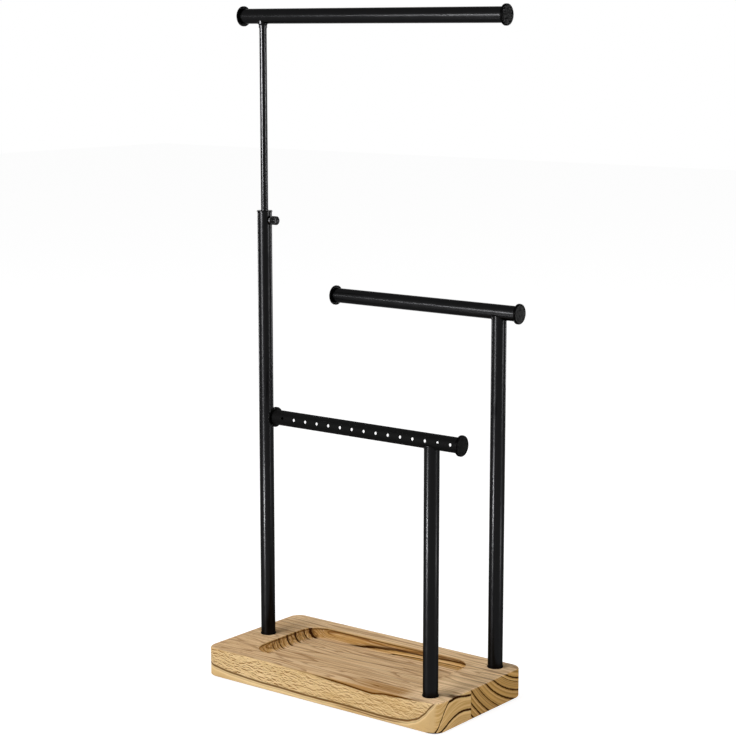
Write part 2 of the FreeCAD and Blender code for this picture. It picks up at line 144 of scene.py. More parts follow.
def add_lamp(name, azimuth, place_z, distance, width, height, power, gloss=False):
    """Area lamp aimed at the stand. Azimuth 0 is in front (-Y) and 90 to the right (+X).

    width and height are those of the lamp's face, and lengths are in metres. A plain lamp lights the colours
    and a gloss lamp only draws highlights on the paint.
    """
    data = bpy.data.lights.new(name, "AREA")
    data.shape = "RECTANGLE"
    data.size = width
    data.size_y = height
    data.energy = power
    lamp = bpy.data.objects.new(name, data)
    lamp.visible_diffuse = not gloss
    lamp.visible_glossy = gloss
    a = math.radians(azimuth)
    lamp.location = Vector((math.sin(a) * distance, -math.cos(a) * distance, place_z))
    toward = Vector((0, 0, min(place_z, HIGHEST_AIM))) - lamp.location
    lamp.rotation_mode = "QUATERNION"
    lamp.rotation_quaternion = toward.to_track_quat("-Z", "Y")
    bpy.context.scene.collection.objects.link(lamp)


class Graph:
    """Short names for building a node tree."""

    def __init__(self, owner):
        owner.use_nodes = True
        self.nodes = owner.node_tree.nodes
        self.links = owner.node_tree.links

    def put(self, kind, inputs=None, **settings):
        """New shader node. inputs maps a socket's name or number to a number, colour or output socket."""
        node = self.nodes.new("ShaderNode" + kind)
        for key, value in settings.items():
            setattr(node, key, value)
        for key, value in (inputs or {}).items():
            self.feed(node.inputs[key], value)
        return node

    def feed(self, socket, value):
        if isinstance(value, bpy.types.NodeSocket):
            self.links.new(value, socket)
        else:
            socket.default_value = value

    def math(self, operation, *values, clamp=False):
        return self.put("Math", dict(enumerate(values)), operation=operation, use_clamp=clamp).outputs[0]

    def add(self, *values):
        total = values[0]
        for value in values[1:]:
            total = self.math("ADD", total, value)
        return total

    def times(self, *values):
        total = values[0]
        for value in values[1:]:
            total = self.math("MULTIPLY", total, value)
        return total

    def minus(self, value, other):
        return self.math("SUBTRACT", value, other)

    def inverse(self, share):
        return self.minus(1.0, share)

    def absolute(self, value):
        return self.math("ABSOLUTE", value)

    def larger(self, value, other):
        return self.math("MAXIMUM", value, other)

    def remap(self, value, low, high, new_low=0.0, new_high=1.0, interpolation="LINEAR"):
        """Takes the range from low to high to the one from new_low to new_high."""
        inputs = {0: value, 1: low, 2: high, 3: new_low, 4: new_high}
        return self.put("MapRange", inputs, interpolation_type=interpolation).outputs[0]

    def step(self, value, low, high):
        """0 below low and 1 above high, smooth between. low may be above high."""
        if low > high:
            return self.inverse(self.step(value, high, low))
        return self.remap(value, low, high, interpolation="SMOOTHSTEP")

    def vector(self, x, y, z):
        return self.put("CombineXYZ", {0: x, 1: y, 2: z}).outputs[0]

    def noise(self, vector, scale, detail, roughness=0.5, distortion=0.0):
        inputs = {"Vector": vector, "Scale": scale, "Detail": detail, "Roughness": roughness,
                  "Distortion": distortion}
        return self.put("TexNoise", inputs).outputs[0]

    def ramp(self, value, stops, interpolation):
        """Colour ramp. stops lists (position, grey level or colour)."""
        node = self.put("ValToRGB", {0: value})
        node.color_ramp.interpolation = interpolation
        elements = node.color_ramp.elements
        while len(elements) > 1:
            elements.remove(elements[-1])
        for k, (position, level) in enumerate(stops):
            element = elements[0] if k == 0 else elements.new(position)
            element.position = position
            element.color = (*level, 1) if isinstance(level, tuple) else (level, level, level, 1)
        return node.outputs[0]

    def mix(self, factor, a, b):
        """Colour mix. a and b are colours or sockets."""
        node = self.put("Mix", data_type="RGBA", blend_type="MIX")
        self.feed(node.inputs[0], factor)
        for number, value in ((6, a), (7, b)):
            self.feed(node.inputs[number], (*value, 1) if isinstance(value, tuple) else value)
        return node.outputs[2]

    def coats(self, tone, layers):
        """Lays colours over a tone in turn. layers lists (share, colour written with 0 to 255)."""
        for share, color in layers:
            tone = self.mix(share, tone, linear(*color))
        return tone


def seen_ray(graph):
    """1 for camera, glossy and transmission rays, which see the white background as it is."""
    path = graph.put("LightPath").outputs
    glossy = graph.math("ADD", path["Is Camera Ray"], path["Is Glossy Ray"], clamp=True)
    return graph.math("ADD", glossy, path["Is Transmission Ray"], clamp=True)


def set_world():
    world = bpy.data.worlds.new("studio")
    bpy.context.scene.world = world
    graph = Graph(world)
    graph.nodes.clear()
    light = graph.put("Background", {"Color": (1, 1, 1, 1), "Strength": WORLD_LIGHT})
    seen = graph.put("Background", {"Color": (1, 1, 1, 1), "Strength": 1.0})
    mix = graph.put("MixShader", {0: seen_ray(graph), 1: light.outputs[0], 2: seen.outputs[0]})
    graph.put("OutputWorld", {"Surface": mix.outputs[0]})


def add_floor():
    """Pale floor under the stand. Seen directly it is white, apart from the shadow on it."""
    mesh = bpy.data.meshes.new("floor")
    half = FLOOR_HALF_SIDE
    corners = [(-half, -half, 0), (half, -half, 0), (half, half, 0), (-half, half, 0)]
    mesh.from_pydata(corners, [], [(0, 1, 2, 3)])
    floor = bpy.data.objects.new("floor", mesh)
    floor.location = (0, 0, FLOOR_Z - FLOOR_GAP)
    bpy.context.scene.collection.objects.link(floor)
    material = bpy.data.materials.new("floor_white")
    graph = Graph(material)
    graph.nodes.clear()
    plain = graph.put("BsdfDiffuse", {"Color": (FLOOR_BOUNCE, FLOOR_BOUNCE, FLOOR_BOUNCE, 1)})
    shaded = graph.put("BsdfDiffuse", {"Color": (FLOOR_SHADE, FLOOR_SHADE, FLOOR_SHADE, 1)})
    glow = graph.put("Emission", {"Strength": FLOOR_GLOW})
    white = graph.put("AddShader", {0: shaded.outputs[0], 1: glow.outputs[0]})
    mix = graph.put("MixShader", {0: seen_ray(graph), 1: plain.outputs[0], 2: white.outputs[0]})
    graph.put("OutputMaterial", {"Surface": mix.outputs[0]})
    mesh.materials.append(material)


# ---------------------------------------------------------------- materials
def linear(red, green, blue):
    """Linear colour of an sRGB colour written with 0 to 255."""
    def channel(level):
        level /= 255
        return level / 12.92 if level <= 0.04045 else ((level + 0.055) / 1.055) ** 2.4
    return channel(red), channel(green), channel(blue)


def surface(name, color, roughness, metallic=0.0, specular=0.5):
    """New material: its graph, its principled shader and the object's own coordinates in millimetres."""
    material = bpy.data.materials.new(name)
    graph = Graph(material)
    shader = graph.nodes["Principled BSDF"]
    shader.inputs["Base Color"].default_value = (*color, 1)
    shader.inputs["Roughness"].default_value = roughness
    shader.inputs["Metallic"].default_value = metallic
    shader.inputs["Specular IOR Level"].default_value = specular
    place = graph.put("TexCoord").outputs["Object"]
    place_mm = graph.put("VectorMath", {0: place, 3: 1000.0}, operation="SCALE").outputs[0]
    return material, graph, shader, place_mm


def bump(graph, shader, height, distance_mm):
    """Bump of that height field, 0 to 1 standing for distance_mm."""
    node = graph.put("Bump", {"Height": height, "Distance": distance_mm * MM, "Strength": 1.0})
    graph.links.new(node.outputs[0], shader.inputs["Normal"])


def vary_roughness(graph, shader, field, low, high):
    """Roughness between low and high, following a noise field, which lies mostly between 0.3 and 0.7."""
    graph.links.new(graph.remap(field, 0.3, 0.7, low, high), shader.inputs["Roughness"])


def satin_paint(name, reflectance, roughness):
    """Smooth black paint with the faint ripple of a sprayed coat.

    It mirrors little, and hardly more at its edges, so that it stays black beside a white background.
    """
    color = (reflectance, reflectance, reflectance * 1.04)
    material, graph, shader, place = surface(name, color, roughness, metallic=1.0)
    shader.inputs["Specular Tint"].default_value = (0.5, 0.5, 0.5, 1)
    ripple = graph.noise(place, 0.14, 2.0, 0.4)
    vary_roughness(graph, shader, ripple, roughness - 0.015, roughness + 0.025)
    bump(graph, shader, ripple, 0.006)
    return material


def grained_black(name, level, roughness, specular):
    """Matt plastic or powder coat with a fine grain."""
    material, graph, shader, place = surface(name, (level, level, level), roughness, specular=specular)
    grain = graph.noise(place, 4.5, 3.0, 0.65)
    vary_roughness(graph, shader, grain, roughness - 0.05, roughness + 0.07)
    bump(graph, shader, grain, 0.012)
    return material


def plated_steel(name, color, roughness):
    """Zinc-plated steel with fine turning marks."""
    material, graph, shader, place = surface(name, color, roughness, metallic=1.0)
    marks = graph.noise(place, 3.0, 4.0, 0.7)
    vary_roughness(graph, shader, marks, roughness - 0.08, roughness + 0.1)
    bump(graph, shader, marks, 0.01)
    return material


def soft_polymer(name, color, roughness):
    """Nylon or rubber: slightly uneven and dull."""
    material, graph, shader, place = surface(name, color, roughness, specular=0.35)
    grain = graph.noise(place, 2.5, 3.0, 0.6)
    dark = tuple(channel * 0.8 for channel in color)
    graph.links.new(graph.mix(grain, dark, color), shader.inputs["Base Color"])
    bump(graph, shader, grain, 0.03)
    return material


# Growth rings of the back stave: radius from the pith in mm, and how dark each line is
PITH_Y = 75.0
PITH_Z = 95.0
INNER_BAND = (72.0, 103.0)
OUTER_BAND = (103.0, 134.0)
RINGS_INNER = [(75.2, 0.45), (80.6, 1.0), (83.2, 0.8), (84.7, 0.5), (87.6, 0.3), (90.7, 0.9), (94.2, 0.35),
               (98.2, 0.95), (101.3, 0.3)]
RINGS_OUTER = [(104.6, 0.35), (106.3, 0.95), (109.2, 0.45), (111.6, 0.3), (114.1, 0.95), (118.0, 0.35),
               (121.2, 0.95), (124.6, 0.3), (128.1, 0.9), (131.5, 0.4)]
GLUE_SEAM_Y = -15.0
TOP_MM = 25.4

# Dark lines that are drawn as curves: (Y, Z) in mm on the right end, and (X, Z) along the front face
CURVE_HEIGHT = 40.0
END_SPAN = (-64.0, -14.0)
END_UPPER_WAVE = [(-64, 0.0), (-60, 1.0), (-57, 8.0), (-54, 15.0), (-48, 22.6), (-41, 24.2), (-34, 24.6),
                  (-26, 23.2), (-15, 21.4)]
END_LOWER_WAVE = [(-64, 0.0), (-58, 0.2), (-54, 2.6), (-48, 5.6), (-42, 8.3), (-35, 10.2), (-29, 10.9),
                  (-22, 10.4), (-15, 9.2)]
FRONT_SPAN = (-125.0, 125.0)
FRONT_LOW_LINE = [(-125, 12.0), (-116.9, 10.3), (-102.9, 8.1), (-85.4, 6.8), (-62.5, 5.7), (-40, 5.6),
                  (-17.8, 5.0), (4, 4.9), (25.5, 5.2), (46.6, 5.0), (67.4, 4.5), (87.9, 5.4), (98, 7.2),
                  (108, 11.8), (115, 18.4), (120.9, 26.0), (125, 32.0)]
FRONT_HIGH_LINE = [(-125, 25.6), (-60, 25.5), (-30, 25.2), (6, 24.3), (30, 23.2), (52, 21.8), (62, 22.0),
                   (70, 23.4), (83, 24.1), (99, 25.0), (113, 26.0), (125, 27.0)]


def line_stops(lines, low, high, rise, fall):
    """Ramp stops for dark lines at given places: a slow rise, a dark crest and a quick fall."""
    stops = [(0.0, 0.0)]
    for place, level in lines:
        for shift, share in ((-rise, 0.0), (0.0, 1.0), (fall, 0.0)):
            stops.append(((place + shift - low) / (high - low), level * share))
    return stops


def ring_lines(graph, radius, rise, fall):
    """Dark lines of the back stave's rings at that radius."""
    parts = []
    for lines, (low, high) in ((RINGS_INNER, INNER_BAND), (RINGS_OUTER, OUTER_BAND)):
        place = graph.remap(radius, low, high)
        parts.append(graph.ramp(place, line_stops(lines, low, high, rise, fall), "EASE"))
    return graph.add(*parts)


def contours(graph, field, count, start):
    """Growth lines of a height field: each darkens slowly and ends sharply."""
    saw = graph.math("FRACT", graph.times(field, count))
    crest = graph.step(saw, start, 0.93)
    return graph.times(crest, graph.step(saw, 1.0, 0.95))


class WoodFigure:
    """Zones and lines of the board's figure, as sockets of its material's graph, in millimetres."""

    def __init__(self, graph, place):
        self.graph = graph
        apart = graph.put("SeparateXYZ", {0: place}).outputs
        self.x, self.y, self.z = apart[0], apart[1], apart[2]
        self.find_zones()
        self.find_wander()
        self.draw_back_stave()
        self.draw_end_grain()
        self.draw_front_lines()
        self.draw_front_flecks()
        self.draw_long_grain()

    def scaled(self, x_scale, y_scale, z_scale):
        """The place with each of its coordinates scaled."""
        times = self.graph.times
        return self.graph.vector(times(self.x, x_scale), times(self.y, y_scale), times(self.z, z_scale))

    def line(self, height, width, softness):
        """1 within width of where height is 0, falling to 0 over softness, with a ragged edge."""
        off = self.graph.absolute(self.graph.add(height, self.graph.times(self.ragged, 0.9)))
        return self.graph.step(off, width + softness, width)

    def above(self, place, reach, points):
        """Height above a curve through points, which is drawn along a place within its reach."""
        low, high = reach
        stops = [((along - low) / (high - low), z / CURVE_HEIGHT) for along, z in points]
        curve = self.graph.ramp(self.graph.remap(place, low, high), stops, "CARDINAL")
        return self.graph.minus(self.z, self.graph.times(curve, CURVE_HEIGHT))

    def find_zones(self):
        """Faces of the board, by their normals, the tray, and the two staves that are glued together."""
        graph = self.graph
        normal = graph.put("SeparateXYZ", {0: graph.put("TexCoord").outputs["Normal"]}).outputs
        self.flat_top = graph.step(normal[2], 0.55, 0.9)
        self.end_face = graph.step(graph.absolute(normal[0]), 0.5, 0.8)
        self.facing_front = graph.step(normal[1], -0.15, -0.5)
        self.face_on = graph.larger(graph.step(normal[0], 0.05, 0.3), self.facing_front)

        half_length = TRAY_LENGTH / 2 / MM
        half_width = TRAY_WIDTH / 2 / MM
        from_middle = graph.absolute(graph.add(self.x, -TRAY_OFFSET_X / MM))
        self.in_tray = graph.times(graph.step(self.z, TOP_MM - 0.4, TOP_MM - 1.4),
                                   graph.step(graph.absolute(self.y), half_width + 1.5, half_width + 0.3),
                                   graph.step(from_middle, half_length + 1.5, half_length + 0.3))
        self.outside = graph.inverse(self.in_tray)
        self.front_face = graph.times(graph.step(normal[1], -0.35, -0.75), self.outside)
        self.tray_wall = graph.times(self.in_tray, graph.step(normal[2], 0.97, 0.8))
        self.back_stave = graph.step(self.y, GLUE_SEAM_Y - 0.1, GLUE_SEAM_Y + 0.1)
        self.front_stave = graph.inverse(self.back_stave)

    def find_wander(self):
        """Slow wander and ragged edge shared by all lines, so that they aren't drawn with a compass."""
        graph = self.graph
        self.slow = graph.noise(self.scaled(0.010, 0.035, 0.04), 1.0, 2.0)
        self.wander = graph.times(graph.minus(self.slow, 0.5), 5.0)
        self.ragged = graph.minus(graph.noise(self.scaled(0.06, 0.7, 0.7), 1.0, 3.0, 0.6), 0.5)

    def draw_back_stave(self):
        """Rings that stand upright in the tray's left part and slant at both ends."""
        graph, x = self.graph, self.x
        slant = graph.larger(graph.step(x, -75.0, 70.0), graph.times(graph.step(x, -98.0, -124.0), 0.75))
        z_here = graph.add(TOP_MM, graph.times(graph.minus(self.z, TOP_MM), slant))
        dy = graph.minus(self.y, PITH_Y)
        dz = graph.minus(z_here, PITH_Z)
        radius = graph.math("SQRT", graph.add(graph.times(dy, dy), graph.times(dz, dz)))
        middle_only = graph.times(graph.step(x, -80.0, -40.0), graph.step(x, 118.0, 80.0))
        radius = graph.add(radius, graph.times(self.wander, graph.add(0.12, middle_only)),
                           graph.times(self.ragged, 1.1))
        darkness = graph.times(ring_lines(graph, radius, 1.9, 0.9), 1.35)
        self.rings = graph.math("POWER", darkness, 1.3, clamp=True)
        self.ring_flanks = ring_lines(graph, graph.minus(radius, 1.9), 0.9, 1.4)
        beside_rings = graph.vector(graph.times(radius, 1.15), graph.times(x, 0.004), 0.0)
        self.faint_rings = graph.step(graph.noise(beside_rings, 1.0, 2.0, 0.6), 0.5, 0.66)

        # how strongly the rings show: fully on the end, well in the tray, weakly on the top
        on_top = graph.times(self.flat_top, graph.add(0.25, graph.times(graph.step(x, 84.0, 118.0), 0.2)))
        share = graph.add(self.end_face, graph.times(self.in_tray, self.face_on, 0.85), on_top)
        self.ring_share = graph.math("MINIMUM", share, 1.0)

    def draw_end_grain(self):
        """Two dark waves on the front stave's right end, with pale flanks."""
        graph = self.graph
        zone = graph.times(graph.step(self.x, 112.0, 121.0), self.front_stave)
        upper = self.above(self.y, END_SPAN, END_UPPER_WAVE)
        lower = self.above(self.y, END_SPAN, END_LOWER_WAVE)
        waves = graph.add(self.line(upper, 0.5, 0.9), self.line(lower, 0.55, 0.9))
        flanks = graph.add(self.line(graph.add(upper, 1.9), 0.5, 1.2),
                           self.line(graph.add(lower, 2.0), 0.6, 1.2))
        self.end_lines = graph.times(waves, zone)
        self.end_flanks = graph.times(flanks, zone)
        bands = graph.vector(graph.times(lower, 0.55), graph.times(self.y, 0.02), 0.0)
        self.end_bands = graph.noise(bands, 1.0, 2.0, 0.6)

    def draw_front_lines(self):
        """A long dark line low on the front that turns up at the right, its faint twin, one at the top."""
        graph, x = self.graph, self.x
        low = self.above(x, FRONT_SPAN, FRONT_LOW_LINE)
        high = self.above(x, FRONT_SPAN, FRONT_HIGH_LINE)
        zone = graph.times(graph.step(self.y, -56.0, -60.5), graph.inverse(graph.times(self.flat_top, 0.6)))
        twin = graph.times(graph.step(x, 15.0, 35.0), graph.step(x, 95.0, 80.0))
        twin_line = self.line(graph.add(low, 2.1), 0.15, 0.7)
        lines = graph.add(graph.times(self.line(low, 0.45, 0.9), 0.85),
                          graph.times(twin_line, graph.add(graph.times(twin, 0.4), 0.3)),
                          graph.times(self.line(high, 0.15, 0.6), graph.step(x, -122.0, -95.0), 0.6),
                          graph.times(self.line(high, 0.4, 0.9), graph.step(x, -10.0, 20.0), 0.7))
        self.front_lines = graph.times(lines, zone)
        self.front_flanks = graph.times(self.line(graph.add(low, 2.6), 0.6, 1.6), self.front_face,
                                        graph.inverse(twin))
        self.between = graph.times(self.front_face, graph.step(low, 0.3, 1.5), graph.step(high, -0.3, -1.5))
        self.brown_edge = graph.times(graph.step(high, -0.2, 0.4), self.front_face, graph.step(x, 0.0, 25.0))

    def draw_front_flecks(self):
        """Short wavy figure of the flat-sawn front, coloured as a relief: dark below, partly the figure and
        partly painted shade, and a painted highlight above.
        """
        graph, x = self.graph, self.x

        def figure_at(lift):
            height = graph.add(graph.times(self.z, 0.42), graph.times(x, 0.03),
                               graph.times(self.wander, 0.35), lift)
            return graph.noise(graph.vector(graph.times(x, 0.11), graph.times(self.y, 0.3), height),
                               1.0, 3.0, 0.62, 1.4)

        # The relief is the figure less its copy a little higher up, so the colour is shaded as a relief:
        # painted shade on one side of each fleck and a painted highlight on the other.
        relief = graph.minus(figure_at(0.0), figure_at(0.38))
        self.flecks = graph.step(relief, 0.03, 0.12)
        self.painted_fleck_highlights = graph.step(relief, -0.02, -0.12)
        self.fleck_share = graph.add(0.6, graph.times(graph.step(x, 10.0, -60.0), 0.3))

    def draw_long_grain(self):
        """Growth lines, streaks and pores along the grain, seen on the top and in the tray."""
        graph, x = self.graph, self.x
        bend = graph.add(self.y, graph.times(self.wander, 1.6))

        def along(x_scale, bend_scale, z_scale):
            return graph.vector(graph.times(x, x_scale), graph.times(bend, bend_scale),
                                graph.times(self.z, z_scale))

        field = graph.noise(along(0.0040, 0.045, 0.05), 1.0, 1.5, 0.5, 0.2)
        self.growth = contours(graph, graph.add(field, graph.times(self.ragged, 0.012)), 17.0, 0.6)
        self.streaks = graph.noise(along(0.0075, 0.7, 0.5), 1.0, 4.0, 0.62, 0.3)
        self.dark_streaks = graph.step(self.streaks, 0.52, 0.66)
        self.pale_streaks = graph.step(self.streaks, 0.47, 0.36)
        fibre = graph.noise(self.scaled(0.10, 2.0, 2.0), 1.0, 4.0, 0.65)
        self.pores = graph.step(fibre, 0.43, 0.32)

        # slanting strokes on the top's left end, and browner wood behind the front edge's right half
        slanting = graph.times(graph.add(x, graph.times(self.y, 0.8)), 0.22)
        strokes = graph.noise(graph.vector(slanting, graph.times(self.y, 0.55), 0.0), 1.0, 3.0, 0.6, 0.8)
        self.left_strokes = graph.times(graph.step(strokes, 0.44, 0.34), graph.step(x, -70.0, -95.0),
                                        self.flat_top)
        self.patch = graph.times(graph.step(x, 18.0, 60.0), graph.step(x, 98.0, 80.0),
                                 graph.step(self.y, -40.0, -50.0))


def ground_tone(graph, wood):
    """Colour of each face under its lines."""
    by_streaks = graph.step(wood.streaks, 0.35, 0.65)
    top = graph.mix(by_streaks, linear(220, 190, 150), linear(196, 160, 118))
    front = graph.mix(graph.step(wood.slow, 0.35, 0.65), linear(214, 184, 136), linear(200, 166, 114))
    end = graph.mix(graph.step(wood.end_bands, 0.35, 0.65), linear(212, 176, 120), linear(188, 150, 92))
    end = graph.mix(wood.back_stave, end, linear(186, 145, 84))
    wall = graph.mix(by_streaks, linear(214, 172, 108), linear(184, 140, 82))

    tone = graph.mix(wood.end_face, graph.mix(wood.front_face, top, front), end)
    tone = graph.coats(tone, [
        (wood.brown_edge, (164, 124, 76)),
        (graph.times(wood.patch, wood.flat_top, wood.outside, 0.85), (168, 126, 76)),
    ])
    paler = graph.larger(graph.times(graph.step(wood.x, 84.0, 96.0), 0.75),
                         graph.times(graph.step(wood.y, 42.0, 52.0), 0.6))
    return graph.coats(graph.mix(wood.tray_wall, tone, wall), [
        (graph.times(wood.tray_wall, wood.facing_front, 0.7), (172, 130, 74)),
        (graph.times(paler, wood.flat_top), (230, 199, 158)),
    ])


def figured_tone(graph, wood):
    """The ground tone under the rings, streaks and lines, in the order in which they cover each other."""
    dark = (48, 22, 4)
    rings_here = graph.times(wood.ring_share, wood.back_stave)
    along_grain = graph.inverse(graph.larger(graph.times(wood.end_face, wood.outside), wood.front_face))
    growth_share = graph.add(0.55, graph.times(wood.patch, 0.3), graph.times(wood.tray_wall, 0.3))
    # rim: painted shade, a dark line along the top of the tray's left and back walls
    rim = graph.times(wood.tray_wall, wood.face_on, graph.step(wood.z, 22.9, 24.1))
    seam = graph.step(graph.absolute(graph.minus(wood.y, GLUE_SEAM_Y)), 0.35, 0.1)
    seam_share = graph.add(0.08, graph.times(wood.end_face, 0.6))
    return graph.coats(ground_tone(graph, wood), [
        (graph.times(wood.faint_rings, rings_here, 0.5), (118, 78, 34)),
        (graph.times(wood.ring_flanks, rings_here, 0.5), (226, 190, 130)),
        (graph.times(wood.dark_streaks, along_grain, 0.3), (150, 108, 66)),
        (graph.times(wood.pale_streaks, along_grain, 0.35), (230, 202, 164)),
        (graph.times(wood.growth, along_grain, growth_share), (126, 84, 42)),
        (graph.times(wood.rings, rings_here), dark),
        (graph.times(wood.end_flanks, 0.5), (228, 192, 134)),
        (wood.end_lines, dark),
        (graph.times(wood.front_flanks, 0.6), (232, 206, 156)),
        # dark flecks, partly the wood's figure and partly painted shade of their relief, then painted
        # highlights on their other side
        (graph.times(wood.flecks, wood.between, wood.fleck_share), (128, 86, 38)),
        (graph.times(wood.painted_fleck_highlights, wood.between, 0.45), (238, 214, 168)),
        (wood.front_lines, (84, 48, 12)),
        (graph.times(wood.left_strokes, 0.4), (150, 110, 70)),
        (graph.times(wood.pores, 0.28), (120, 82, 46)),
        # painted shade along the tray's rim
        (graph.times(rim, 0.85), (70, 38, 12)),
        (graph.times(seam, seam_share), (70, 44, 20)),
    ])


def brushed_relief(graph, wood):
    """Height field in which the dark lines lie low."""
    carved = graph.add(graph.times(wood.rings, wood.ring_share, wood.back_stave), wood.end_lines,
                       wood.front_lines)
    return graph.add(graph.times(carved, -1.0), graph.times(wood.flecks, wood.between, -0.6),
                     graph.times(wood.pores, -0.25),
                     graph.times(wood.growth, graph.times(wood.flat_top, wood.outside), -0.3))


def wood_material():
    material, graph, shader, place = surface("wood", (0.5, 0.36, 0.2), 0.62, specular=0.0)
    wood = WoodFigure(graph, place)
    graph.links.new(figured_tone(graph, wood), shader.inputs["Base Color"])
    bump(graph, shader, brushed_relief(graph, wood), 0.22)
    vary_roughness(graph, shader, wood.streaks, 0.56, 0.72)
    return material


# ---------------------------------------------------------------- mesh helpers
AXES = {"X": (Vector((1, 0, 0)), Vector((0, 1, 0)), Vector((0, 0, 1))),
        "Z": (Vector((0, 0, 1)), Vector((1, 0, 0)), Vector((0, 1, 0)))}
SEGMENTS = 96


def mesh_object(name, vertices, faces, sharp_deg=35):
    """Object of a closed mesh: smooth, with the edges over sharp_deg kept sharp."""
    mesh = bpy.data.meshes.new(name)
    mesh.from_pydata([tuple(v) for v in vertices], [], faces)
    obj = bpy.data.objects.new(name, mesh)
    bpy.context.scene.collection.objects.link(obj)
    finish_mesh(mesh, sharp_deg)
    return obj


def finish_mesh(mesh, sharp_deg):
    bm = bmesh.new()
    bm.from_mesh(mesh)
    bmesh.ops.recalc_face_normals(bm, faces=bm.faces)
    limit = math.radians(sharp_deg)
    for face in bm.faces:
        face.smooth = True
    for edge in bm.edges:
        edge.smooth = edge.is_manifold and edge.calc_face_angle() < limit
    bm.to_mesh(mesh)
    bm.free()


def bridge(rings, closed_across=False):
    """Quads between neighbouring rings, each a list of vertex numbers round a loop."""
    faces = []
    count = len(rings) if closed_across else len(rings) - 1
    for k in range(count):
        a = rings[k]
        b = rings[(k + 1) % len(rings)]
        n = len(a)
        faces += [(a[i], a[(i + 1) % n], b[(i + 1) % n], b[i]) for i in range(n)]
    return faces


def number_rings(loops):
    """Flattens loops of points into one list, and gives the numbers of each loop's points."""
    vertices = [point for loop in loops for point in loop]
    rings = []
    start = 0
    for loop in loops:
        rings.append(list(range(start, start + len(loop))))
        start += len(loop)
    return vertices, rings


def circle(centre, axis, along, radius, segments):
    """Points round an axis. radius is a number, or a function of the angle."""
    direction, u, v = AXES[axis]
    points = []
    for k in range(segments):
        angle = 2 * math.pi * k / segments
        r = radius(angle) if callable(radius) else radius
        points.append(centre + direction * along + u * (r * math.cos(angle)) + v * (r * math.sin(angle)))
    return points


def turned(name, centre, axis, profile, closed=False, segments=SEGMENTS, sharp_deg=35):
    """Turned mesh. profile lists (distance along the axis, radius). An open one gets flat ends."""
    loops = [circle(centre, axis, along, radius, segments) for along, radius in profile]
    vertices, rings = number_rings(loops)
    faces = bridge(rings, closed)
    if not closed:
        faces += [tuple(rings[0]), tuple(reversed(rings[-1]))]
    return mesh_object(name, vertices, faces, sharp_deg)


def span(low, high, step):
    """Places from low to high, about step apart."""
    count = max(1, round((high - low) / step))
    return [low + (high - low) * k / count for k in range(count + 1)]


def tube_mesh(name, centre, axis, places):
    """Tube with rings at the given places along the axis."""
    profile = [(p, TUBE_RADIUS) for p in places] + [(p, BORE_RADIUS) for p in reversed(places)]
    return turned(name, centre, axis, profile, closed=True)


def cut(obj, cutters):
    """Subtracts the cutters' volumes and removes them."""
    for cutter in cutters:
        tool = obj.modifiers.new("cut", "BOOLEAN")
        tool.operation = "DIFFERENCE"
        tool.solver = "EXACT"
        tool.object = cutter
    graph = bpy.context.evaluated_depsgraph_get()
    mesh = bpy.data.meshes.new_from_object(obj.evaluated_get(graph))
    obj.modifiers.clear()
    obj.data = mesh
    for cutter in cutters:
        bpy.data.objects.remove(cutter)


def round_normals(obj, centre, axis):
    """Normals of a pierced tube's walls point straight from its axis, and other faces stay flat."""
    direction = AXES[axis][0]
    mesh = obj.data
    normals = []
    for polygon in mesh.polygons:
        for k in polygon.loop_indices:
            point = mesh.vertices[mesh.loops[k].vertex_index].co - centre
            radial = (point - direction * point.dot(direction)).normalized()
            facing = radial.dot(polygon.normal)
            wall = abs(facing) > 0.98 and abs(polygon.normal.dot(direction)) < 0.02
            normals.append(radial * math.copysign(1, facing) if wall else polygon.normal.copy())
    for polygon in mesh.polygons:
        polygon.use_smooth = True
    mesh.normals_split_custom_set(normals)


def dress(node, material):
    obj = frame["nodes"][node]
    obj.data.materials.clear()
    obj.data.materials.append(material)


def settle(obj, material, body, slot, *nodes):
    """Gives a finished piece its material and body, and hides the CAD nodes that it stands for. slot is not
    used.
    """
    obj.data.materials.clear()
    obj.data.materials.append(material)
    for polygon in obj.data.polygons:
        polygon.material_index = 0
    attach(obj, body)
    if nodes:
        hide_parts(*nodes)


# ---------------------------------------------------------------- wooden base
CORNER_STEPS = 14
SIDE_STEPS = (48, 24)
COVE_STEPS = 12
CUTTER_OVERSHOOT = 5 * MM


def rounded_rectangle(half_x, half_y, corner, z, centre_x=0.0):
    """Closed loop of points, the same number for every size."""
    points = []
    quarter = [(1, -1, -90), (1, 1, 0), (-1, 1, 90), (-1, -1, 180)]
    for k, (sx, sy, start) in enumerate(quarter):
        cx = sx * (half_x - corner)
        cy = sy * (half_y - corner)
        arc = []
        for i in range(CORNER_STEPS + 1):
            angle = math.radians(start + 90 * i / CORNER_STEPS)
            arc.append(Vector((cx + corner * math.cos(angle), cy + corner * math.sin(angle), 0)))
        nx, ny, next_start = quarter[(k + 1) % 4]
        angle = math.radians(next_start)
        following = Vector((nx * (half_x - corner) + corner * math.cos(angle),
                            ny * (half_y - corner) + corner * math.sin(angle), 0))
        steps = SIDE_STEPS[(k + 1) % 2]
        points += arc
        points += [arc[-1].lerp(following, i / steps) for i in range(1, steps)]
    return [Vector((p.x + centre_x, p.y, z)) for p in points]


